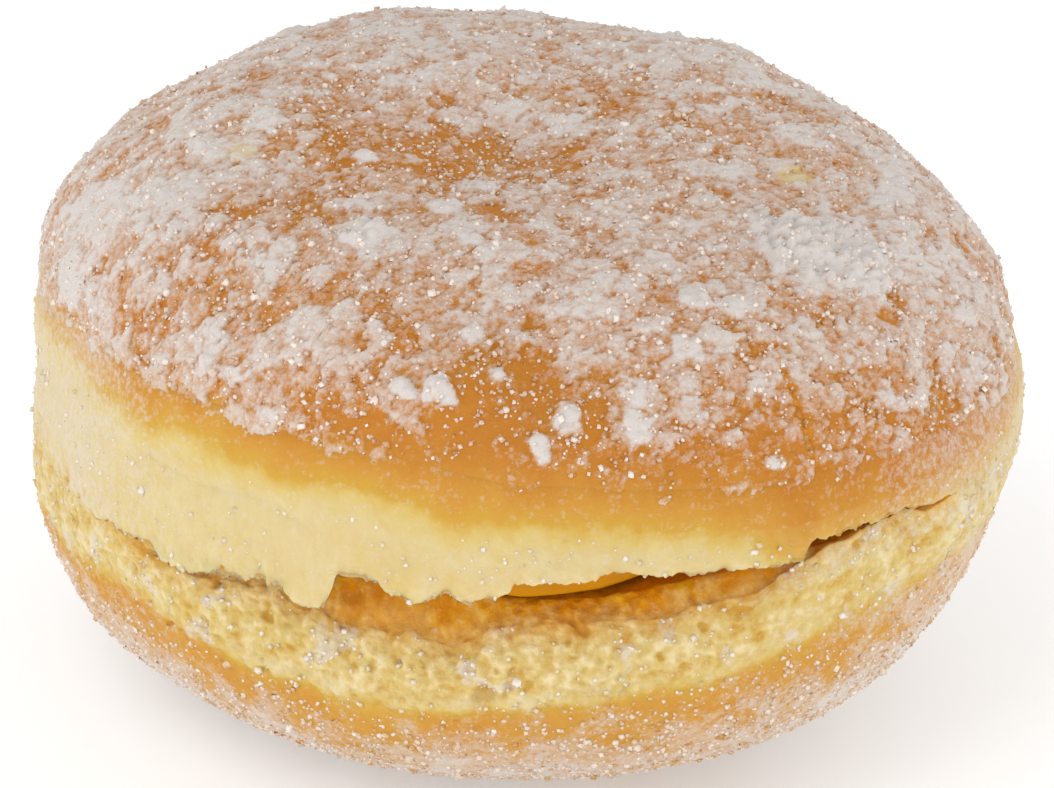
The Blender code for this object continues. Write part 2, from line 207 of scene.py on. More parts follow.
# Fine sugar on the sides: little in front, more round the back and down the belly. Each RISE is
# (where it starts below the rim, over what height).
FRONT_MIDDLE = math.radians(-4)
FRONT_HALF = math.radians(34)
FRONT_BLEND = math.radians(26)
FRONT_FROST = 0.05
ROUND_FROST = 0.32
OPEN_CRUMB = 0.75
CRUMB_SHELTER = 0.7
RIM_FROST = 0.06
RIM_FROST_RISE = (-2.5, 3)
BELLY_FROST = 0.78
BELLY_FROST_RISE = (1.5, 12)
BELLY_FROST_DROP = 0.35
BELLY_FROST_DROP_WIDTH = math.radians(20)
CLUSTERS = (2.6, 2, 42)
CLUSTER_LEAST = 0.3
CLUSTER_FROST = 0.4
PATCHY_FROST = (0.26, 3, 4, 41)
PATCHY_LEAST = 0.25
PATCHY_RISE = (-2, 4)
STRIP_FROST = 0.2
STRIP_FROST_RISE = 0.6
BASE_FROST = 0.6

# The custard. A negative gap sinks it into the dough that it touches.
CREAM_GAP = -0.12
CREAM_FRONT = 0.062
CREAM_RECEDING = 0.08
CREAM_BACK = 0.86
CREAM_MIDDLE = math.radians(9)
CREAM_SPREAD = math.radians(28)
CREAM_END = 0.15
CREAM_RINGS = 90
CREAM_COLUMNS = 72
CREAM_SQUARENESS = 0.35
CREAM_TAPER = 0.5

# The sugar. Places on the crown are (azimuth in degrees, distance over the crust from the crown's middle).
SUGAR_STEP = 0.25
SUGAR_REACH = 51.0
SUGAR_BED = 0.4
BED_END = 1.02
BED_BLEND = 0.2
SHEET_LEAST = -0.35
SHEET_RISE = 0.05
SHEET_SINK = 0.5
SHEET_SINK_WIDTH = 3
SLOPE_STEPS = 500
SLOPE_END = math.radians(5)
FULL_SUGAR = 1.15
USUAL_AMOUNT = 0.57
EDGE_AMOUNT = 0.14
EDGE_WIDTH = 2.2
BACK_AMOUNT = 0.1
BACK_START = 8
BACK_BLEND = 10
# Flakes as (size, seed), and the gaps between them as (amount, width). A large flake is thick or thin by its
# own number, and a small one evenly so. Noise that varies the amount: (amount, size, octaves, seed).
LARGE_GAP = (0.2, 0.18)
SMALL_GAP = (0.08, 0.3)
LARGE_FLAKES = (2.3, 34)
LARGE_STEP = 0.34
LARGE_RISE = (0.3, 0.4)
LARGE_MIDDLE = 0.19
SMALL_FLAKES = (1.1, 39)
SMALL_STEP = 0.2
AMOUNT_NOISE = ((0.20, 7, 3, 31), (0.16, 2.4, 3, 32), (0.14, 0.8, 3, 33))
CAKE_EDGE = (
    (-150, 50), (-65, 49), (-50, 48), (-40, 46), (-28, 44), (-18, 42.5), (-10, 40), (-3, 39), (5, 42),
    (12, 44), (20, 41), (28, 38), (36, 40), (45, 43), (55, 45), (70, 48), (100, 50), (150, 50),
)
# Bare patches: (azimuth, distance, radius, depth).
BARE_PATCHES = (
    (-51, 26.5, 6, 0.9), (-60, 29, 4, 0.6), (-73, 17, 5, 0.9), (-52, 13.8, 5.5, 1),
    (-30, 9, 5, 1), (-27, 4.5, 5.5, 1.1), (61, 4.5, 3, 1.3), (158, 13.2, 2.5, 0.8),
    (135, 13.5, 2.5, 0.8), (-67, 42, 3, 0.8), (-57, 46, 2.5, 0.6), (-50, 37, 2.5, 0.9),
    (-44, 38.4, 2.2, 0.9), (-12, 37.2, 4.5, 1.6), (-3, 39, 3.5, 0.9), (3, 43.5, 4.5, 1.3),
    (12, 40, 3.5, 1.2), (31, 36, 3.5, 0.6), (57, 36.7, 1.8, 1), (-7, 16.5, 2.2, 0.9),
    (-1, 33.5, 3.5, 0.6), (-27, 37.3, 4, 0.6), (-45, 43.7, 2.5, 0.6), (46, 39, 4.5, 0.7),
    (9, 47.6, 3, 0.6), (-111, 9, 4.5, 0.6), (78, 40, 3, 0.6), (120, 38, 3.5, 0.7),
    (-120, 40, 4, 0.7), (170, 34, 3.5, 0.7), (-160, 25, 3, 0.6),
)
# Places with more sugar: (azimuth, distance, radius, depth).
DUSTED_PATCHES = (
    (-39, 14, 3, 0.5), (50, 15.5, 3.5, 0.5), (88, 23, 5, 0.5), (-70, 31, 7, 0.8),
    (-82, 45, 7, 1), (42, 26.6, 3.5, 0.6), (-43, 36.5, 2.5, 0.5), (25, 37.4, 3, 0.7),
    (39, 34.2, 3, 0.4), (-31, 45.5, 4.5, 0.9), (-29, 50.5, 4, 0.7), (78, 38, 8, 0.8),
    (30, 42, 3, 0.4), (18, 45.5, 2.5, 0.4), (-150, 23.5, 6, 0.4), (134, 26, 5, 0.4),
    (62, 49, 5, 0.7), (46, 47, 4, 0.6),
)
# Mounds of sugar: (azimuth, distance, length along the slope, width, height).
MOUNDS = (
    (53, 28.6, 5.5, 4.4, 2.2), (57, 33.2, 4, 4.4, 1.8), (62, 30.5, 3.5, 3.5, 1.6),
    (-32, 26.4, 2.6, 2.8, 1.5), (-14, 41.9, 1.3, 1.4, 1.3), (-10, 41.5, 1.5, 1.6, 1.4),
    (-41, 45.4, 1.1, 1.3, 1.2), (-7, 34.7, 1.2, 1.2, 1.1), (-3, 38.9, 0.9, 0.9, 1.1),
    (124, 4.7, 1.9, 2.2, 1.2), (-86, 22.6, 2, 2.6, 1.1), (-79, 28.9, 1.9, 2.3, 1.1),
    (-60, 16.5, 1.3, 1.5, 1.1), (27, 30.6, 1.6, 1.9, 1.1), (22, 35.7, 1.7, 1.5, 1),
    (13, 43.1, 2, 1.6, 0.9), (2, 45.2, 1.4, 1.2, 0.9), (5, 42.3, 1.7, 1.6, 0.9),
    (-16, 11.9, 1.2, 1.2, 1), (-23, 18.1, 2.2, 2, 0.9), (32, 32, 1.5, 1.8, 1),
    (27, 46.9, 0.7, 0.8, 0.9), (-11, 23.2, 1.6, 1.6, 0.8), (14, 39.8, 2, 1.7, 0.8),
    (150, 30, 2.4, 2.8, 1.3), (-140, 33, 1.8, 2.4, 1.2), (175, 40, 1.6, 2, 1.1),
    (100, 36, 1.6, 1.8, 1),
)
MOUND_NOISE = (0.45, 1.6, 4, 37)
MOUND_CLUMPS = (0.9, 38)
MOUND_WHITE = 0.6
PATCH_AMOUNT = 0.34
# The relief of the sugar: its full depth, and clumps as (height, size, seed).
CAKE_DEPTH = 0.5
CAKE_CLUMPS = ((0.11, 0.9, 35), (0.13, 0.5, 36))
# Loose grains: how many lie on a square millimetre of caked sugar and of bare crust, their size and shape.
CAKE_GRAINS = 0.8
CRUST_GRAINS = 2.6
GRAIN_PATCHES = (3, 3, 43)
GRAIN_SIZE = 0.22
GRAIN_SPREAD = 0.35
GRAIN_LEAN = 0.45
GRAIN_SIDES = (0.75, 1.2)
GRAIN_CORNERS = (0.7, 1.15)
CLEAR_SHARE = 0.6
SIDE_GRAINS = 0.9
SIDE_PATCHES = (4, 3, 41)
SUGAR_SEED = 7
# Crumbs of dough on the crown: (azimuth, distance, radius).
STRAY_CRUMBS = ((-75, 26.2, 1.2), (78, 24.4, 1.4))
STRAY_BARENESS = 0.4
# A fine crack in the crust: (azimuth, from this distance, to that distance).
CRACK = (32.5, 37.5, 50)
CRACK_DEPTH = 0.5
CRACK_BARENESS = 0.8
CRACK_WIDTH = 0.36

# Colours as 8-bit display values, each with its place on its ramp.
CRUST_TONES = (
    (0, (209, 191, 143)),
    (0.18, (206, 182, 110)),
    (0.36, (199, 157, 62)),
    (0.6, (198, 144, 58)),
    (0.85, (190, 129, 44)),
    (1, (186, 118, 36)),
)
# The crumb's own straw colour, painted darker and more golden in its pits and pores and paler on its tips,
# as painted shade by how raised each place is.
CRUMB_AND_PIT_SHADE_TONES = (
    (0, (197, 154, 66)),
    (0.3, (203, 173, 99)),
    (0.6, (208, 184, 120)),
    (0.95, (219, 202, 157)),
)
# Painted shade: this orange, in under the lip and in the crack, stands in for the shade and bounced light
# there.
DEEP_SHADE_TONES = ((0.1, (202, 127, 0)), (0.5, (208, 138, 0)), (1, (217, 162, 32)))
CUSTARD_TONES = ((0.3, (194, 130, 0)), (0.7, (201, 139, 0)))
SUGAR_TONE = (208, 200, 194)
GRAIN_TONE = (240, 228, 217)
# How much of the crust the sugar hides, by how much frost lies on it.
COVER = ((0.08, 0), (0.3, 0.3), (0.6, 0.72), (0.9, 1))

# The camera and the studio. Lights are (name, place, width, height, power), in metres and watts.
CAMERA_DOWN = math.radians(24)
CAMERA_DISTANCE = 350
LENS = 130.3
SENSOR_WIDTH = 36
LENS_SHIFT = (0.0045, -0.0298)
LIGHTS = (
    ("key", (-0.25, -0.35, 0.6), 0.35, 0.35, 0.7),
    ("front", (0, -0.75, 0.05), 1, 0.3, 1.25),
    ("left", (-0.75, -0.3, 0.05), 0.8, 0.3, 1.8),
    ("right", (0.75, -0.3, 0.05), 0.8, 0.3, 1.8),
)
LIT_PLACE = (0, 0, 0.02)
SKY_STRENGTH = 0.86
FLOOR_HALF = 2
FLOOR_GREY = 0.9
FLOOR_GLOW = 0.2


def outline(points, azimuth):
    """The height of an edge at these azimuths, closed round the back of the bun."""
    degrees = np.degrees(azimuth)
    return np.interp(degrees, [p[0] for p in points], [p[1] for p in points], period=360)


def waves(x, y, z, length, seed):
    """Gentle unevenness between about -1 and 1, with bumps about half of length wide."""
    draw = np.random.default_rng(seed)
    total = 0
    for _ in range(WAVE_COUNT):
        direction = draw.normal(size=3)
        direction /= np.linalg.norm(direction)
        scale = math.tau / length * draw.uniform(*WAVE_SPREAD)
        along = direction[0] * x + direction[1] * y + direction[2] * z
        total = total + np.sin(along * scale + draw.uniform(0, math.tau))
    return total * 2 / WAVE_COUNT


def smooth(value):
    """Eases from 0 to 1 as the value goes from 0 to 1."""
    value = np.clip(value, 0, 1)
    return value * value * (3 - 2 * value)


def rise(value, start, width):
    """Eases from 0 to 1 over this width."""
    return smooth((value - start) / width)


def fractal(points, size, octaves=3, seed=0):
    """Fractal noise of about -1 to 1 at these points, with features of this size."""
    offset = Vector((seed * 17.31, seed * 5.17, seed * 9.73))
    flat = (points.reshape(-1, 3) / size).tolist()
    values = [noise.fractal(Vector(p) + offset, 1.0, 2.0, octaves) for p in flat]
    return np.array(values).reshape(points.shape[:-1])


def layered(points, layers):
    """Layers of fractal noise added up, each as (amount, size, octaves, seed)."""
    return sum(amount * fractal(points, size, octaves, seed) for amount, size, octaves, seed in layers)


def widest_level(azimuth):
    """The height at which the bun is widest, which rises and falls a little round it."""
    return -WIDEST_TILT * np.sin(azimuth) - WIDEST_WAVE * np.sin(2 * azimuth)


def oval(azimuth):
    """How much wider the bun is in this direction than a round one."""
    return 1 + OVALNESS * np.sin(2 * azimuth)


def crown_point(azimuth, lift):
    """A point of the upper half; lift is 0 at the widest level and 1 at the middle of the crown."""
    radius = BUN_RADIUS * (1 - lift**CROWN_POWER) ** (1 / CROWN_POWER) * oval(azimuth)
    x = radius * np.sin(azimuth)
    y = -radius * np.cos(azimuth)
    tilt = (CROWN_TILT[0] * x + CROWN_TILT[1] * y) / BUN_RADIUS
    z = widest_level(azimuth) * (1 - lift) + (CROWN_HEIGHT + tilt) * lift
    off_centre = np.hypot(x - DIMPLE_CENTRE[0], y - DIMPLE_CENTRE[1])
    z = z - DIMPLE_DEPTH * np.exp(-((off_centre / DIMPLE_RADIUS) ** 2))
    coarse = COARSE_BUMPS * waves(x, y, z, COARSE_LENGTH, CROWN_SEED)
    uneven = coarse + FINE_BUMPS * waves(x, y, z, FINE_LENGTH, CROWN_SEED + 1)
    outward = uneven / BUN_RADIUS
    return x + outward * x, y + outward * y, z + uneven * lift


def belly_point(azimuth, drop):
    """A point of the lower half; drop is 0 at the widest level and 1 at the middle of the base."""
    radius = BUN_RADIUS * (1 - drop**BELLY_POWER) ** (1 / BELLY_POWER) * oval(azimuth)
    x = radius * np.sin(azimuth) + BASE_SHIFT * drop
    y = -radius * np.cos(azimuth)
    z = widest_level(azimuth) * (1 - drop) - BELLY_DEPTH * drop
    uneven = COARSE_BUMPS * waves(x, y, z, COARSE_LENGTH, BELLY_SEED) / BUN_RADIUS
    return x + uneven * x, y + uneven * y, np.maximum(z, BASE_LEVEL)


def side_point(azimuth, height):
    """The bun's outside at this height, which lies near the widest level."""
    level = widest_level(azimuth)
    lift = np.clip((height - level) / (CROWN_HEIGHT - level), 0, NEAR_POLE)
    drop = np.clip((level - height) / (BELLY_DEPTH + level), 0, NEAR_POLE)
    upper_x, upper_y, _ = crown_point(azimuth, lift)
    lower_x, lower_y, _ = belly_point(azimuth, drop)
    below = smooth(0.5 + (level - height) / SEAM_HEIGHT)
    return upper_x + (lower_x - upper_x) * below, upper_y + (lower_y - upper_y) * below


def openness(azimuth):
    """1 along the slit and 0 round the uncut rest of the bun."""
    right = smooth((SLIT_RIGHT - azimuth) / CORNER_BLEND)
    return right * rise(azimuth, SLIT_LEFT, LEFT_BLEND) ** 2


def torn(azimuth):
    """1 where the crumb is torn open, fading out towards the smooth band round the back."""
    return smooth((TORN_END - np.abs(azimuth)) / TORN_BLEND)


def pocket_end(azimuth):
    """Where the pocket stops: half an ellipse that bulges back from one corner of the slit to the other."""
    turn = math.pi * np.clip((azimuth - SLIT_LEFT) / (SLIT_RIGHT - SLIT_LEFT), 0, 1)
    left = BUN_RADIUS * np.array([math.sin(SLIT_LEFT), -math.cos(SLIT_LEFT)])
    right = BUN_RADIUS * np.array([math.sin(SLIT_RIGHT), -math.cos(SLIT_RIGHT)])
    middle = (left + right) / 2
    half = (right - left) / 2
    x = middle[0] - half[0] * np.cos(turn)
    y = middle[1] - half[1] * np.cos(turn) + POCKET_BACK * np.sin(turn)
    return x, y


def slit_point(azimuth, inset, height):
    """A point at this height, pulled from the bun's outside towards the pocket's far end."""
    outer_x, outer_y = side_point(azimuth, height)
    end_x, end_y = pocket_end(azimuth)
    nearest = np.minimum(azimuth - SLIT_LEFT, SLIT_RIGHT - azimuth)
    reach = LEAST_REACH + (1 - LEAST_REACH) * smooth(nearest / SHALLOW_END) ** 3
    pulled = np.minimum(inset, FOOT_INSET) + np.maximum(inset - FOOT_INSET, 0) * reach
    pull = pulled * openness(azimuth)
    return outer_x + (end_x - outer_x) * pull, outer_y + (end_y - outer_y) * pull, height


def pocket_room(azimuth):
    """The pocket's inner height, greatest in the middle of the slit."""
    middle = (SLIT_LEFT + SLIT_RIGHT) / 2
    half = (SLIT_RIGHT - SLIT_LEFT) / 2
    across = np.clip(np.abs(azimuth - middle) / half, 0, 1)
    return (ROOM_WIDEST - ROOM_LEAST) * np.cos(across * math.pi / 2) ** ROOM_POWER + ROOM_LEAST


def roof_height(azimuth, inset):
    """The pocket's roof, which follows its floor's foot."""
    share = np.interp(inset, POCKET_INSETS, ROOF_SHARE)
    return outline(FLOOR_FOOT, azimuth) + share * pocket_room(azimuth)


def floor_height(azimuth, inset):
    """The floor climbs from the crumb's edge to its foot, lies level and meets the roof at the far end."""
    edge = outline(FLOOR_EDGE, azimuth)
    climb = rise(inset, EDGE_INSET, FOOT_INSET - EDGE_INSET)
    share = np.interp(inset, POCKET_INSETS, FLOOR_SHARE)
    return edge + (outline(FLOOR_FOOT, azimuth) - edge) * climb + share * pocket_room(azimuth)


def way_round(azimuth):
    """Places on a straight line as long as the way round the bun, for noise along an edge."""
    return np.stack([azimuth * BUN_RADIUS, 0 * azimuth, 0 * azimuth], axis=-1)


def lip_line(azimuth):
    """The lip with its small ragged teeth, which only the torn part has."""
    teeth = layered(way_round(azimuth), TEETH)
    rougher = 1 + ROUGHER * smooth((ROUGHER_LEFT - azimuth) / ROUGHER_BLEND)
    return outline(LIP, azimuth) + teeth * torn(azimuth) * rougher


def edge_line(azimuth):
    """The uneven edge of the slit's floor."""
    return outline(FLOOR_EDGE, azimuth) + layered(way_round(azimuth), (EDGE_NOISE,)) * torn(azimuth)


def crust_end(azimuth):
    """The crown's steepness at the lower edge of its crust."""
    edge = outline(CRUST_EDGE, azimuth)
    level = widest_level(azimuth)
    return np.arcsin(((edge - level) / (CROWN_HEIGHT - level)) ** (CROWN_POWER / 2))


def crust_point(azimuth, steepness):
    """A point of the crown's crust and its way down it; steepness is 90 degrees in the middle."""
    edge = outline(CRUST_EDGE, azimuth)
    lowest = crust_end(azimuth)
    missed = edge - crown_point(azimuth, np.sin(lowest) ** (2 / CROWN_POWER))[2]
    x, y, z = crown_point(azimuth, np.sin(steepness) ** (2 / CROWN_POWER))
    way = (math.pi / 2 - steepness) / (math.pi / 2 - lowest)
    return x, y, z + missed * way**3, way


def crown_way(ring):
    """How far down the crown a ring lies: the first ones are small, so that they follow the dimple."""
    return (ring / CROWN_RINGS) ** CROWN_CROWDING


def crown_rings(azimuth):
    """From the crown's middle to the lower edge of the crust. Each ring comes with its crumb amount."""
    lowest = crust_end(azimuth)
    for ring in range(1, CROWN_RINGS + 1):
        steepness = math.pi / 2 + (lowest - math.pi / 2) * crown_way(ring)
        yield crust_point(azimuth, steepness)[:3], 0.0


def collar_rings(azimuth):
    """The pale collar from the crust down to the lip, with its rings closer together near the lip."""
    top = outline(CRUST_EDGE, azimuth)
    lip = lip_line(azimuth)
    least, added, power = COLLAR_CRUMB
    for ring in range(1, COLLAR_RINGS + 1):
        way = 1 - (1 - ring / COLLAR_RINGS) ** COLLAR_CROWDING
        height = top + (lip - top) * way
        yield (*side_point(azimuth, height), height), least + added * way**power


def pocket_rings(azimuth):
    """The roof of the pocket inwards, then its floor outwards; both close up beyond the slit's corners."""
    lip = lip_line(azimuth)
    edge = edge_line(azimuth)
    opened = openness(azimuth)
    count = len(ROOF_INSETS) + len(FLOOR_INSETS) + 1
    first = POCKET_INSETS[0]
    for number, inset in enumerate(ROOF_INSETS, 1):
        near = min(inset / first, 1) ** ROOF_NEARNESS
        roof = lip + (roof_height(azimuth, max(inset, first)) - lip) * near
        shut = lip + (edge - lip) * number / count
        yield slit_point(azimuth, inset, shut + (roof - shut) * opened), ROOF_CRUMB
    for number, inset in enumerate(FLOOR_INSETS, len(ROOF_INSETS) + 1):
        climb = rise(inset, EDGE_INSET, FOOT_INSET - EDGE_INSET)
        floor = floor_height(azimuth, inset) + (edge - outline(FLOOR_EDGE, azimuth)) * (1 - climb)
        shut = lip + (edge - lip) * number / count
        yield slit_point(azimuth, inset, shut + (floor - shut) * opened), FLOOR_CRUMB


def crumb_rings(azimuth):
    """The torn crumb face, from the floor's edge out and down to the rim of the lower crust."""
    edge = edge_line(azimuth)
    rim = outline(RIM, azimuth)
    for ring in range(CRUMB_RINGS + 1):
        way = ring / CRUMB_RINGS
        inset = EDGE_INSET * (1 - way) - CRUMB_BULGE * math.sin(math.pi * way)
        yield slit_point(azimuth, inset, edge + (rim - edge) * way), 1.0


def belly_rings(azimuth):
    """From the rim to the flat base."""
    rim = outline(RIM, azimuth)
    level = widest_level(azimuth)
    highest = np.arcsin(((level - rim) / (BELLY_DEPTH + level)) ** (BELLY_POWER / 2))
    for ring in range(1, BELLY_RINGS + 1):
        way = (ring / BELLY_RINGS) ** BELLY_CROWDING
        steepness = highest + (BASE_STEEPNESS - highest) * way
        point = belly_point(azimuth, np.sin(steepness) ** (2 / BELLY_POWER))
        yield point, max(0.0, 1 - ring / CRUMB_FADING_RINGS)


def grid_normals(points):
    """Outward unit normals of a grid of rings by columns that closes round the back."""
    around = np.roll(points, -1, axis=1) - np.roll(points, 1, axis=1)
    down = np.gradient(points, axis=0)
    normal = np.cross(down, around)
    return normal / np.maximum(np.linalg.norm(normal, axis=-1, keepdims=True), 1e-9)


def grid_faces(rings, columns):
    """Faces of a closed grid between two poles. Vertex 0 is the top pole and the last the bottom one."""
    column = np.arange(columns)
    following = (column + 1) % columns
    quads = []
    for ring in range(rings - 1):
        upper = 1 + ring * columns
        lower = upper + columns
        corners = [upper + column, lower + column, lower + following, upper + following]
        quads.append(np.stack(corners, axis=1))
    last = 1 + (rings - 1) * columns
    top = np.stack([0 * column, 1 + column, 1 + following], axis=1)
    bottom = np.stack([last + columns + 0 * column, last + following, last + column], axis=1)
    return np.concatenate(quads).tolist() + top.tolist() + bottom.tolist()


def add_piece(name, points, faces, material, attributes, replaced=None):
    """A mesh piece in metres, with float attributes on its vertices, riding on the doughnut."""
    middle = np.array([*BOX_MIDDLE, BASE_LEVEL])
    mesh = bpy.data.meshes.new(name)
    mesh.from_pydata(((points - middle) * METRES).tolist(), [], faces)
    for label, values in attributes.items():
        made = mesh.attributes.new(label, "FLOAT", "POINT")
        made.data.foreach_set("value", np.asarray(values, np.float32))
    mesh.shade_smooth()
    mesh.materials.append(material)
    piece = bpy.data.objects.new(name, mesh)
    bpy.context.scene.collection.objects.link(piece)
    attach(piece, "root")
    if replaced:
        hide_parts(replaced)


def columns_of(count):
    """The azimuths of the columns, closer together in front."""
    turns = np.linspace(-math.pi, math.pi, count, endpoint=False)
    return turns - FRONT_CROWDING * np.sin(turns)


def dough_grid():
    """The azimuths, points and crumb amounts of the whole bun, before its fine relief."""
    azimuth = columns_of(COLUMNS)
    rows = []
    crumb = []
    for rings in (crown_rings, collar_rings, pocket_rings, crumb_rings, belly_rings):
        for point, amount in rings(azimuth):
            rows.append(np.stack(np.broadcast_arrays(*point), axis=-1))
            crumb.append(amount * torn(azimuth))
    points = np.stack(rows)
    return azimuth, points, np.stack(crumb)


def early_crust(azimuth):
    """How much higher the lower crust begins along the left of the slit."""
    return EARLY_CRUST * smooth((EARLY_RIGHT - azimuth) / EARLY_BLEND) * torn(azimuth)


def toast_of(azimuth, points):
    """How brown the crust is: 0 on the pale collar and 1 on the crown and the belly."""
    above = points[..., 2] - outline(PALE_EDGE, azimuth)
    below = outline(RIM, azimuth) - points[..., 2]
    blotches = layered(points, BLOTCHES)
    crown = smooth((above + blotches) / CROWN_BROWNING)
    begun = below + BELLY_LEAD + early_crust(azimuth)
    belly = BELLY_TOAST * smooth((begun + blotches) / BELLY_BROWNING)
    return np.maximum(crown, belly)


def deep_shade_of(azimuth, points):
    """How much painted shade a place takes for lying in under the lip: 0 on the outside, 1 well inside the
    pocket.
    """
    deep = np.zeros(points.shape[:2])
    first = CROWN_RINGS + COLLAR_RINGS
    inside = first + len(ROOF_INSETS) + len(FLOOR_INSETS)
    deep[first:inside] = 1
    climb = SLOPE_RINGS + SHADED_RINGS
    fading = smooth(1 - np.arange(climb) / climb)
    slope = slice(inside - SLOPE_RINGS, inside + SHADED_RINGS)
    uneven = DEEP_FULL + layered(points[slope], (DEEP_NOISE,))
    deep[slope] = np.clip(fading[:, None] * uneven, 0, 1)
    paler = DEEP_LEAST + (1 - DEEP_LEAST) * rise(azimuth, DEEP_LEFT, DEEP_BLEND)
    return deep * smooth(openness(azimuth) / DEEP_OPENNESS) * paler


def foot_rows():
    """The rings of the pocket's floor next to the custard."""
    last = CROWN_RINGS + COLLAR_RINGS + len(ROOF_INSETS) + len(FLOOR_INSETS) - SLOPE_RINGS
    return slice(last - FOOT_RINGS, last + FOOT_RINGS)


def crease_depth(azimuth, points):
    """The shallow crease along the left of the collar."""
    turned = np.degrees(azimuth)
    first, last = CREASE_ENDS
    there = rise(turned, first, CREASE_BLEND) * smooth((last - turned) / CREASE_BLEND)
    off_line = (points[..., 2] - outline(CREASE, azimuth)) / CREASE_WIDTH
    return CREASE_DEPTH * there * np.exp(-(off_line**2))


def clusters(points):
    """1 where sugar clings to the crumb in a clump and 0 between the clumps."""
    return rise(fractal(points, *CLUSTERS), CLUSTER_LEAST, CLUSTER_LEAST)


def side_frost(azimuth, points, crumb):
    """How thickly fine sugar dusts the sides: on clumps of the crumb and more and more down the belly, and
    none where the pocket's painted shade lies.
    """
    height = points[..., 2]
    below = outline(RIM, azimuth) - height
    around = rise(np.abs(azimuth - FRONT_MIDDLE), FRONT_HALF, FRONT_BLEND)
    right = smooth(azimuth / BELLY_FROST_DROP_WIDTH)
    lower = BELLY_FROST * (1 - BELLY_FROST_DROP * torn(azimuth) * right)
    belly = (RIM_FROST + lower * rise(below, *BELLY_FROST_RISE)) * rise(below, *RIM_FROST_RISE)
    open_crumb = rise(crumb, OPEN_CRUMB, 1 - OPEN_CRUMB)
    dusted = CLUSTER_FROST * clusters(points) * open_crumb
    patchy = layered(points, (PATCHY_FROST,)) * (PATCHY_LEAST + rise(below, *PATCHY_RISE))
    strip = smooth((height - outline(STRIP, azimuth)) / STRIP_FROST_RISE)
    strip = strip * rise(azimuth, STRIP_LEFT, STRIP_BLEND)
    dusted = dusted + STRIP_FROST * strip * open_crumb * (height < outline(LIP, azimuth))
    light = FRONT_FROST + ROUND_FROST * around * (1 - CRUMB_SHELTER * open_crumb)
    return np.clip(light + belly + dusted + patchy, 0, 1) * (1 - deep_shade_of(azimuth, points))


def pore_at(azimuth, points):
    """1 inside the single larger pore of the crumb."""
    turned, height, radius, _ = PORE
    side = (np.degrees(azimuth) - turned) * math.radians(BUN_RADIUS)
    return np.exp(-((np.hypot(side, points[..., 2] - height) / radius) ** 4))


def add_dough(material):
    """The bun with its fine relief, and the attributes that colour it at each vertex and both poles, among
    them painted shade in under the lip and in the crumb's pits.
    """
    azimuth, points, crumb = dough_grid()
    toast = toast_of(azimuth, points)
    normals = grid_normals(points)
    crags = layered(points, CRAGS)
    pores = OPEN_PORES[0] * np.maximum(0, fractal(points, *OPEN_PORES[1:]) - PORE_LEAST)
    skin = layered(points, SKIN)
    sunk = np.zeros_like(toast)
    sunk[:CROWN_RINGS] = bed(crown_way(np.arange(CROWN_RINGS) + 1))[:, None]
    skin = skin * (1 - sunk / SUGAR_BED)
    crags[foot_rows()] *= FOOT_CRAGS
    rough = crumb * (1 - CALM * rise(azimuth, CALM_LEFT, CALM_BLEND))
    pore = pore_at(azimuth, points)
    relief = skin + rough * (crags - pores) - sunk - crease_depth(azimuth, points) - PORE[3] * pore
    frost = side_frost(azimuth, points, crumb)
    # How high each place stands in the crumb's relief; the ramps paint the pits and pores darker with it, as
    # painted shade.
    raised = np.clip(0.5 + 2 * (crags - pores) - pore, 0, 1)
    points = points + normals * relief[..., None]
    points[..., 2] = np.maximum(points[..., 2], BASE_LEVEL)
    poles = np.array([crown_point(0.0, 1.0), (BASE_SHIFT, 0, BASE_LEVEL)])
    rings, columns = points.shape[:2]
    flat = np.concatenate([poles[:1], points.reshape(-1, 3), poles[1:]])
    below = outline(RIM, azimuth) - points[..., 2] + layered(points, (CRUMB_END_NOISE,))
    crumb = crumb * (1 - smooth((below + CRUMB_END_LEAD + early_crust(azimuth)) / CRUMB_END_BLEND))
    looks = {
        "toast": (1, toast, 1),
        "crumb": (0, crumb, 0),
        "deep": (0, deep_shade_of(azimuth, points), 0),
        "raised": (0, raised, 0),
        "frost": (0, frost, BASE_FROST),
    }
    attributes = {label: np.concatenate([[a], grid.ravel(), [b]]) for label, (a, grid, b) in looks.items()}
    add_piece("dough_skin", flat, grid_faces(rings, columns), material, attributes, "dough")
    return azimuth, points, toast, crumb


def cream_front(azimuth):
    """How far in the custard's face lies: it comes nearest just right of the middle."""
    away = (azimuth - CREAM_MIDDLE) / CREAM_SPREAD
    return CREAM_FRONT + CREAM_RECEDING * (1 - np.exp(-(away**2)))


def squared(wave):
    """Makes a round section nearly square, so that the custard fills the pocket's corners."""
    return np.sign(wave) * np.abs(wave) ** CREAM_SQUARENESS


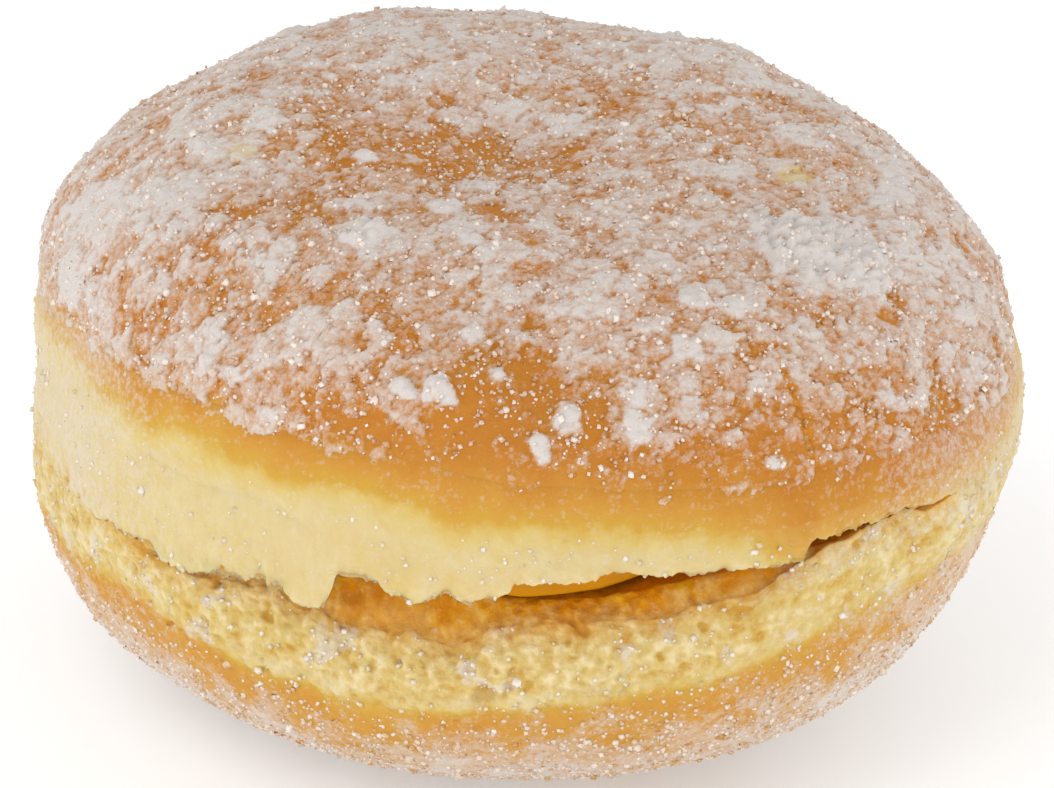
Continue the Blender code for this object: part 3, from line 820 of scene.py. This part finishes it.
def add_cream(material):
    """The custard, as rings along the slit, each fitted between the pocket's roof and floor."""
    along = (np.arange(CREAM_RINGS) + 0.5)[:, None] / CREAM_RINGS
    turn = (np.arange(CREAM_COLUMNS) / CREAM_COLUMNS * math.tau)[None, :]
    azimuth = SLIT_LEFT + (SLIT_RIGHT - SLIT_LEFT) * (CREAM_END + (1 - 2 * CREAM_END) * along)
    fullness = np.sin(math.pi * along) ** CREAM_TAPER
    front = cream_front(azimuth)
    middle = (front + CREAM_BACK) / 2
    inset = middle - (CREAM_BACK - front) / 2 * squared(np.cos(turn)) * fullness
    upright = squared(np.sin(turn)) * fullness
    azimuth = azimuth + 0 * turn
    roof = roof_height(azimuth, inset) - CREAM_GAP
    floor = floor_height(azimuth, inset) + CREAM_GAP
    height = (roof + floor) / 2 + (roof - floor) / 2 * upright
    points = np.stack(slit_point(azimuth, inset, height), axis=-1)
    poles = points[[0, -1]].mean(axis=1)
    flat = np.concatenate([poles[:1], points.reshape(-1, 3), poles[1:]])
    faces = grid_faces(CREAM_RINGS, CREAM_COLUMNS)
    add_piece("custard", flat, faces, material, {}, "cream")


def bed(way):
    """How deep the crust lies under the sugar: it comes up again at the crust's edge."""
    return SUGAR_BED * smooth((BED_END - way) / BED_BLEND)


def steepness_at(distance):
    """The crown's steepness at this distance over the crust from its middle."""
    steps = np.linspace(math.pi / 2, SLOPE_END, SLOPE_STEPS)
    radius = BUN_RADIUS * np.cos(steps) ** (2 / CROWN_POWER)
    height = CROWN_HEIGHT * np.sin(steps) ** (2 / CROWN_POWER)
    travelled = np.concatenate([[0], np.cumsum(np.hypot(np.diff(radius), np.diff(height)))])
    return np.interp(distance, travelled, steps)


def apart(across, along, azimuth, distance):
    """Offsets on the unrolled crown from a named place, sideways and along the slope."""
    turn = math.radians(azimuth)
    side = across * math.cos(turn) + along * math.sin(turn)
    slope = across * math.sin(turn) - along * math.cos(turn) - distance
    return side, slope


def cell_offset(seed):
    """Where this seed's cells lie in the noise."""
    return Vector((seed * 7.7, seed * 3.1, seed * 5.3))


def clumps(points, size, seed):
    """Rounded lumps of about this size: 1 on top of each and 0 between them."""
    offset = cell_offset(seed)
    flat = (points.reshape(-1, 3) / size).tolist()
    nearest = [noise.voronoi(Vector(p) + offset)[0][0] for p in flat]
    return np.clip(1 - (np.array(nearest).reshape(points.shape[:-1]) / 0.75) ** 2, 0, 1)


def flakes(points, size, seed):
    """Flat uneven flakes of about this size: how far in from its edge each place lies, and each flake's
    own number from 0 to 1."""
    offset = cell_offset(seed)
    bent = points + 0.3 * size * fractal(points, 0.5 * size, 2, seed)[..., None]
    flat = (bent.reshape(-1, 3) / size).tolist()
    found = [noise.voronoi(Vector(p) + offset) for p in flat]
    inside = [distances[1] - distances[0] for distances, _ in found]
    number = [(37.1 * middle.x + 91.7 * middle.y + 53.3 * middle.z) % 1 for _, (middle, *_) in found]
    shape = points.shape[:-1]
    return np.array(inside).reshape(shape), np.array(number).reshape(shape)


def gap(inside, amount, width):
    """How much less sugar lies along the edges of the flakes."""
    return amount * (1 - smooth(inside / width))


def sugar_amount(across, along, points):
    """How much sugar lies at each place of the unrolled crown: none at 0 and a thick white crust at 1."""
    distance = np.hypot(across, along)
    azimuth = np.arctan2(across, -along)
    edge = outline(CAKE_EDGE, azimuth)
    amount = USUAL_AMOUNT + EDGE_AMOUNT * np.clip((edge - distance) / EDGE_WIDTH, -3, 1)
    amount = amount + BACK_AMOUNT * rise(along, BACK_START, BACK_BLEND)
    for patches, sign in ((BARE_PATCHES, -1), (DUSTED_PATCHES, 1)):
        for patch_azimuth, patch_distance, radius, depth in patches:
            side, slope = apart(across, along, patch_azimuth, patch_distance)
            amount = amount + sign * PATCH_AMOUNT * depth * np.exp(-(side**2 + slope**2) / radius**2)
    inside, number = flakes(points, *LARGE_FLAKES)
    thickness = LARGE_STEP * rise(number, *LARGE_RISE) - LARGE_MIDDLE - gap(inside, *LARGE_GAP)
    inside, number = flakes(points, *SMALL_FLAKES)
    thickness = thickness + SMALL_STEP * (number - 0.5) - gap(inside, *SMALL_GAP)
    return amount + thickness + layered(points, AMOUNT_NOISE)


def mound_height(across, along, points):
    """The bigger craggy lumps of sugar, named one by one."""
    uneven = layered(points, (MOUND_NOISE,))
    craggy = 0.55 + 0.45 * clumps(points, *MOUND_CLUMPS)
    height = np.zeros(across.shape)
    for azimuth, distance, length, width, top in MOUNDS:
        side, slope = apart(across, along, azimuth, distance)
        away = np.sqrt((side / width) ** 2 + (slope / length) ** 2) + uneven
        height = np.maximum(height, top * (1 - np.clip(away, 0, 1) ** 2.2) * craggy)
    return height


def sugar_sheet():
    """The unrolled crown's sheet of sugar, as a grid: its places, its normals, how many loose grains lie
    on it, its depth and the attributes that colour it."""
    reach = np.arange(-SUGAR_REACH, SUGAR_REACH, SUGAR_STEP)
    across, along = np.meshgrid(reach, reach)
    distance = np.hypot(across, along)
    azimuth = np.arctan2(across, -along)
    x, y, z, way = crust_point(azimuth, steepness_at(distance))
    points = np.stack([x, y, z], axis=-1)
    normals = sheet_normals(points)
    amount = sugar_amount(across, along, points)
    grainy = sum(height * clumps(points, size, seed) for height, size, seed in CAKE_CLUMPS)
    depth = CAKE_DEPTH * smooth(amount / 1.1) + grainy * smooth(amount / 0.35)
    mounds = mound_height(across, along, points)
    sinking = smooth((distance - SUGAR_REACH + SHEET_SINK_WIDTH) / SHEET_SINK_WIDTH)
    depth = np.maximum(depth, mounds) + SHEET_RISE - SHEET_SINK * sinking
    amount = np.maximum(amount, FULL_SUGAR * smooth(mounds / MOUND_WHITE))
    depth = np.where(distance < SUGAR_REACH, depth, SHEET_LEAST)
    crumb = stray_crumbs(across, along)
    crack = crack_at(across, along, points)
    depth = depth - CRACK_DEPTH * crack
    amount = amount - CRACK_BARENESS * crack
    amount = np.clip(amount, 0, FULL_SUGAR) * (1 - STRAY_BARENESS * crumb)
    loose = loose_grains(distance, azimuth, amount, points)
    looks = {
        "toast": toast_of(azimuth, points),
        "crumb": crumb,
        # Painted shade: the crack takes the darkest orange of the pocket's painted shade through deep and
        # raised.
        "deep": crack,
        "raised": 0.5 - 0.5 * crack,
        "frost": amount,
    }
    return points + normals * (depth - bed(way))[..., None], normals, loose, depth, looks


def loose_grains(distance, azimuth, amount, points):
    """How many loose grains lie on a square millimetre: fewer on caked sugar and below the cake's edge."""
    thinning = 1 - 0.85 * smooth((distance - outline(CAKE_EDGE, azimuth)) / 8)
    loose = CRUST_GRAINS * thinning + (CAKE_GRAINS - CRUST_GRAINS * thinning) * smooth(amount / 0.4)
    patches = np.clip(1 + 0.9 * fractal(points, *GRAIN_PATCHES), 0.15, 2.5)
    return loose * (distance < SUGAR_REACH - 1) * patches


def crack_at(across, along, points):
    """1 in the middle of the crack, which runs down the slope and wanders a little."""
    azimuth, first, last = CRACK
    side, slope = apart(across, along, azimuth, 0)
    wander = 0.7 * fractal(points, 3.0, 3, 51)
    ends = smooth((slope - first) / 2) * smooth((last - slope) / 2)
    broken = np.clip(0.7 + fractal(points, 1.2, 2, 52), 0, 1)
    return np.exp(-(((side + wander) / CRACK_WIDTH) ** 2)) * ends * broken


def stray_crumbs(across, along):
    """1 on the crumbs of dough that lie in the sugar."""
    crumb = np.zeros(across.shape)
    for azimuth, distance, radius in STRAY_CRUMBS:
        side, slope = apart(across, along, azimuth, distance)
        crumb = np.maximum(crumb, smooth(1.6 - np.hypot(side, slope) / radius))
    return crumb


def sheet_normals(points):
    """Outward unit normals of the unrolled crown's grid."""
    normal = np.cross(np.gradient(points, axis=1), np.gradient(points, axis=0))
    return normal / np.maximum(np.linalg.norm(normal, axis=-1, keepdims=True), 1e-9)


def add_cake(material, points, depth, looks):
    """The sugared top of the crust in two halves: clear where little sugar lies, white where it cakes."""
    rows, columns = depth.shape
    number = np.arange(rows * columns).reshape(rows, columns)
    corners = np.stack([number[:-1, :-1], number[:-1, 1:], number[1:, 1:], number[1:, :-1]], axis=-1)
    kept = corners[(depth.ravel()[corners] > SHEET_LEAST).any(axis=-1)]
    left = kept[:, 0] % columns < columns // 2
    for name, part in (("cake_left", kept[left]), ("cake_right", kept[~left])):
        used, faces = np.unique(part, return_inverse=True)
        attributes = {label: values.ravel()[used] for label, values in looks.items()}
        add_piece(name, points.reshape(-1, 3)[used], faces.reshape(-1, 4).tolist(), material, attributes)


def scatter(points, normals, density, draw):
    """Random places on a grid, as many in a square millimetre as density says, with the normals there."""
    down = np.roll(points, -1, axis=0) - points
    right = np.roll(points, -1, axis=1) - points
    area = np.linalg.norm(np.cross(down, right), axis=-1)
    count = draw.poisson(np.minimum(area, 1) * density)
    row, column = np.divmod(np.repeat(np.arange(count.size), count.ravel()), count.shape[1])
    share = draw.random((2, len(row), 1))
    place = points[row, column] + share[0] * down[row, column] + share[1] * right[row, column]
    return place, normals[row, column], row, column


def add_grains(name, material, places, normals, draw, white, browned):
    """Sugar crystals: small uneven boxes without the face that lies on the dough."""
    count = len(places)
    upright = normals + GRAIN_LEAN * draw.normal(size=(count, 3))
    upright /= np.linalg.norm(upright, axis=1, keepdims=True)
    side = np.cross(upright, draw.normal(size=(count, 3)))
    side /= np.linalg.norm(side, axis=1, keepdims=True)
    frame = np.stack([side, np.cross(upright, side), upright], axis=1)
    size = GRAIN_SIZE * np.exp(GRAIN_SPREAD * draw.normal(size=(count, 1)))
    size = size * draw.uniform(*GRAIN_SIDES, size=(count, 3))
    box = np.array([(x, y, z) for z in (-1, 1) for y in (-1, 1) for x in (-1, 1)]) / 2
    corners = box[None] * size[:, None] * draw.uniform(*GRAIN_CORNERS, size=(count, 8, 1))
    points = places[:, None] + np.einsum("gcl,glx->gcx", corners, frame)
    points[..., 2] = np.maximum(points[..., 2], BASE_LEVEL)
    sides = np.array([(4, 5, 7, 6), (0, 1, 5, 4), (1, 3, 7, 5), (3, 2, 6, 7), (2, 0, 4, 6)])
    faces = (np.arange(count)[:, None, None] * 8 + sides[None]).reshape(-1, 4).tolist()
    none = np.zeros(8 * count)
    attributes = {
        "toast": np.repeat(browned, 8),
        "crumb": none,
        "deep": none,
        "raised": none,
        "frost": np.repeat(np.clip(white + 0.1 * draw.normal(size=count), 0, 1), 8),
    }
    add_piece(name, points.reshape(-1, 3), faces, material, attributes)


def add_crown_sugar(sugared, grain_material):
    """The caked sugar on the crown, and the loose grains on it in two halves."""
    points, normals, loose, depth, looks = sugar_sheet()
    add_cake(sugared, points, depth, looks)
    draw = np.random.default_rng(SUGAR_SEED)
    places, upright, row, column = scatter(points, normals, loose, draw)
    clear = draw.random(len(places)) < CLEAR_SHARE
    white = np.where(clear, 0.42, 0.75) + 0.3 * looks["frost"][row, column]
    browned = looks["toast"][row, column]
    order = np.argsort(places[:, 0])
    half = len(places) // 2
    for name, part in (("grains_left", order[:half]), ("grains_right", order[half:])):
        add_grains(name, grain_material, places[part], upright[part], draw, white[part], browned[part])


def add_side_sugar(material, azimuth, points, toast, crumb):
    """Loose grains below the cake: a few on the pale parts, more and more down the belly."""
    draw = np.random.default_rng(SUGAR_SEED + 1)
    height = points[..., 2]
    rim = outline(RIM, azimuth)
    below = smooth((rim + 1 - height) / 14)
    patchy = np.clip(1 + 0.9 * fractal(points, *SIDE_PATCHES), 0, 2)
    crown = np.zeros_like(toast)
    crown[:CROWN_RINGS] = 1
    pocket = np.zeros_like(toast)
    lip = CROWN_RINGS + COLLAR_RINGS
    pocket[lip + 2 : lip + len(ROOF_INSETS) + len(FLOOR_INSETS)] = 1
    pale = 0.35 + 3 * clusters(points) * (crumb > 0.8)
    density = (pale + 1.0 * smooth((rim - height + 1) / 3) + 1.6 * below) * patchy
    bare = (1 - pocket * openness(azimuth)) * (1 - crown) * (height > BASE_LEVEL + 0.35)
    places, upright, row, column = scatter(points, grid_normals(points), SIDE_GRAINS * density * bare, draw)
    white = np.where(draw.random(len(places)) < CLEAR_SHARE, 0.45, 0.8)
    add_grains("grains_sides", material, places, upright, draw, white, toast[row, column])


def grey(value):
    """An opaque grey, as a linear RGBA colour."""
    return (value, value, value, 1)


def srgb(red, green, blue):
    """A linear RGBA colour from 8-bit display values."""
    parts = [value / 255 for value in (red, green, blue)]
    return (*[p / 12.92 if p <= 0.04045 else ((p + 0.055) / 1.055) ** 2.4 for p in parts], 1)


class Nodes:
    """Short ways to add and join a material's nodes."""

    def __init__(self, name):
        self.material = bpy.data.materials.new(name)
        self.material.use_nodes = True
        self.tree = self.material.node_tree
        self.shader = self.tree.nodes["Principled BSDF"]
        self.place = self.add("ShaderNodeTexCoord").outputs["Object"]

    def add(self, kind, **values):
        made = self.tree.nodes.new(kind)
        for key, value in values.items():
            setattr(made, key, value)
        return made

    def join(self, source, target):
        self.tree.links.new(source, target)

    def attribute(self, name):
        return self.add("ShaderNodeAttribute", attribute_name=name).outputs["Fac"]

    def noise(self, size_mm, detail=3.0, roughness=0.55):
        made = self.add("ShaderNodeTexNoise")
        made.inputs["Scale"].default_value = 1 / (size_mm * METRES)
        made.inputs["Detail"].default_value = detail
        made.inputs["Roughness"].default_value = roughness
        self.join(self.place, made.inputs["Vector"])
        return made.outputs["Fac"]

    def crystals(self, size_mm):
        """A tone for each crystal of about this size, and a line that is 1 along the gaps between them."""
        scale = 1 / (size_mm * METRES)
        cells = self.add("ShaderNodeTexVoronoi")
        edges = self.add("ShaderNodeTexVoronoi", feature="DISTANCE_TO_EDGE")
        for made in (cells, edges):
            made.inputs["Scale"].default_value = scale
            self.join(self.place, made.inputs["Vector"])
        tone = self.add("ShaderNodeSeparateColor")
        self.join(cells.outputs["Color"], tone.inputs["Color"])
        line = self.ramp(edges.outputs["Distance"], ((0.0, grey(1)), (0.16, grey(0))))
        return tone.outputs["Red"], line

    def tones(self, factor, stops):
        """A ramp whose stops are given as 8-bit display values."""
        return self.ramp(factor, [(position, srgb(*colour)) for position, colour in stops])

    def uneven(self, size_mm, detail, amount):
        """Noise of this amount about 0."""
        return self.math("MULTIPLY", self.math("SUBTRACT", self.noise(size_mm, detail), 0.5), amount)

    def math(self, operation, first, second):
        made = self.add("ShaderNodeMath", operation=operation)
        for socket, value in zip(made.inputs, (first, second)):
            if isinstance(value, (int, float)):
                socket.default_value = value
            else:
                self.join(value, socket)
        return made.outputs[0]

    def ramp(self, factor, stops):
        made = self.add("ShaderNodeValToRGB")
        elements = made.color_ramp.elements
        while len(elements) < len(stops):
            elements.new(1.0)
        for element, (position, colour) in zip(elements, stops):
            element.position = position
            element.color = colour
        self.join(factor, made.inputs["Fac"])
        return made.outputs["Color"]

    def mix(self, factor, first, second):
        made = self.add("ShaderNodeMix", data_type="RGBA")
        for number, value in ((0, factor), (6, first), (7, second)):
            socket = made.inputs[number]
            if isinstance(value, (int, float, tuple)):
                socket.default_value = value
            else:
                self.join(value, socket)
        return made.outputs[2]

    def bump(self, height, distance_mm, strength=1.0):
        made = self.add("ShaderNodeBump")
        made.inputs["Distance"].default_value = distance_mm * METRES
        made.inputs["Strength"].default_value = strength
        self.join(height, made.inputs["Height"])
        self.join(made.outputs["Normal"], self.shader.inputs["Normal"])

    def softness(self, weight, radius_mm, colour_radius):
        self.shader.inputs["Subsurface Weight"].default_value = weight
        self.shader.inputs["Subsurface Radius"].default_value = colour_radius
        self.shader.inputs["Subsurface Scale"].default_value = radius_mm * METRES


def frost_cover(nodes):
    """How much the sugar hides what lies under it: a speckled film of small crystals where it is thin."""
    coarse = nodes.uneven(0.8, 2.0, 0.5)
    fine = nodes.uneven(0.35, 2.0, 0.4)
    crystal, gap = nodes.crystals(0.5)
    fine = nodes.math("ADD", fine, nodes.math("MULTIPLY", nodes.math("SUBTRACT", crystal, 0.5), 0.25))
    fine = nodes.math("SUBTRACT", fine, nodes.math("MULTIPLY", gap, 0.14))
    frost = nodes.math("ADD", nodes.attribute("frost"), nodes.math("ADD", coarse, fine))
    return nodes.ramp(frost, [(position, grey(cover)) for position, cover in COVER])


def dough_material(name, sugar_tone, roughness, shine, softness):
    """Crust, crumb and sugar in one: toast browns the crust, painted shade darkens the crumb's pits and
    turns the pocket under the lip and the crack orange, and frost whitens it through a clear film.
    """
    nodes = Nodes(name)
    broad = nodes.math("MULTIPLY", nodes.noise(4.0), 0.36)
    uneven = nodes.math("ADD", broad, nodes.math("MULTIPLY", nodes.noise(0.9), 0.2))
    browned = nodes.math("ADD", nodes.attribute("toast"), nodes.math("SUBTRACT", uneven, 0.28))
    raised = nodes.math("ADD", nodes.attribute("raised"), nodes.uneven(0.5, 3.0, 0.8))
    crust = nodes.tones(browned, CRUST_TONES)
    # Painted shade: the crumb ramp darkens the pits by raised, and deep turns the pocket under the lip and
    # the crack a shaded orange.
    outside = nodes.mix(nodes.attribute("crumb"), crust, nodes.tones(raised, CRUMB_AND_PIT_SHADE_TONES))
    plain = nodes.mix(nodes.attribute("deep"), outside, nodes.tones(raised, DEEP_SHADE_TONES))
    coloured = nodes.mix(frost_cover(nodes), plain, srgb(*sugar_tone))
    nodes.join(coloured, nodes.shader.inputs["Base Color"])
    nodes.shader.inputs["Roughness"].default_value = roughness
    nodes.shader.inputs["Specular IOR Level"].default_value = shine
    nodes.softness(softness, 1.5, (1.0, 0.6, 0.3))
    nodes.bump(nodes.noise(0.35, 3.0), 0.12)
    return nodes.material


def cream_material():
    """Smooth yellow custard with a satin shine."""
    nodes = Nodes("custard")
    nodes.join(nodes.tones(nodes.noise(5.0), CUSTARD_TONES), nodes.shader.inputs["Base Color"])
    nodes.shader.inputs["Roughness"].default_value = 0.4
    nodes.shader.inputs["Specular IOR Level"].default_value = 0.15
    nodes.softness(0.4, 2.0, (1.0, 0.6, 0.15))
    nodes.bump(nodes.noise(2.5), 0.1)
    return nodes.material


def add_camera():
    """Level across, looking down at the bun from the front."""
    data = bpy.data.cameras.new("camera")
    data.lens = LENS
    data.sensor_width = SENSOR_WIDTH
    data.shift_x, data.shift_y = LENS_SHIFT
    camera = bpy.data.objects.new("camera", data)
    bpy.context.scene.collection.objects.link(camera)
    back = CAMERA_DISTANCE * math.cos(CAMERA_DOWN)
    up = CAMERA_DISTANCE * math.sin(CAMERA_DOWN)
    camera.location = Vector((-BOX_MIDDLE[0], -BOX_MIDDLE[1] - back, up - BASE_LEVEL)) * METRES
    camera.rotation_euler = (math.pi / 2 - CAMERA_DOWN, 0, 0)
    bpy.context.scene.camera = camera


def add_light(name, place, width, height, power):
    """A white rectangular light that faces the bun."""
    data = bpy.data.lights.new(name, "AREA")
    data.shape = "RECTANGLE"
    data.size = width
    data.size_y = height
    data.energy = power
    light = bpy.data.objects.new(name, data)
    bpy.context.scene.collection.objects.link(light)
    light.location = place
    light.rotation_euler = (Vector(LIT_PLACE) - light.location).to_track_quat("-Z", "Y").to_euler()


def add_studio():
    """Soft white light from all sides, and a pale floor."""
    world = bpy.data.worlds.new("studio")
    world.use_nodes = True
    background = world.node_tree.nodes["Background"]
    background.inputs["Color"].default_value = grey(1)
    background.inputs["Strength"].default_value = SKY_STRENGTH
    bpy.context.scene.world = world
    bpy.context.scene.view_settings.view_transform = "Standard"
    for light in LIGHTS:
        add_light(*light)
    nodes = Nodes("studio_floor")
    nodes.shader.inputs["Base Color"].default_value = grey(FLOOR_GREY)
    nodes.shader.inputs["Roughness"].default_value = 0.9
    nodes.shader.inputs["Emission Color"].default_value = grey(1)
    nodes.shader.inputs["Emission Strength"].default_value = FLOOR_GLOW
    mesh = bpy.data.meshes.new("floor")
    corners = [(FLOOR_HALF * x, FLOOR_HALF * y, 0) for x, y in ((-1, -1), (1, -1), (1, 1), (-1, 1))]
    mesh.from_pydata(corners, [], [(0, 1, 2, 3)])
    mesh.materials.append(nodes.material)
    floor = bpy.data.objects.new("floor", mesh)
    bpy.context.scene.collection.objects.link(floor)


def main():
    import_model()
    dough = dough_material("fried_dough", SUGAR_TONE, roughness=0.65, shine=0.15, softness=0.35)
    sugared = dough_material("sugared_crust", SUGAR_TONE, roughness=0.6, shine=0.2, softness=0.08)
    grains = dough_material("sugar_grains", GRAIN_TONE, roughness=0.4, shine=0.35, softness=0.0)
    skin = add_dough(dough)
    add_side_sugar(grains, *skin)
    add_crown_sugar(sugared, grains)
    add_cream(cream_material())
    add_camera()
    add_studio()


main()
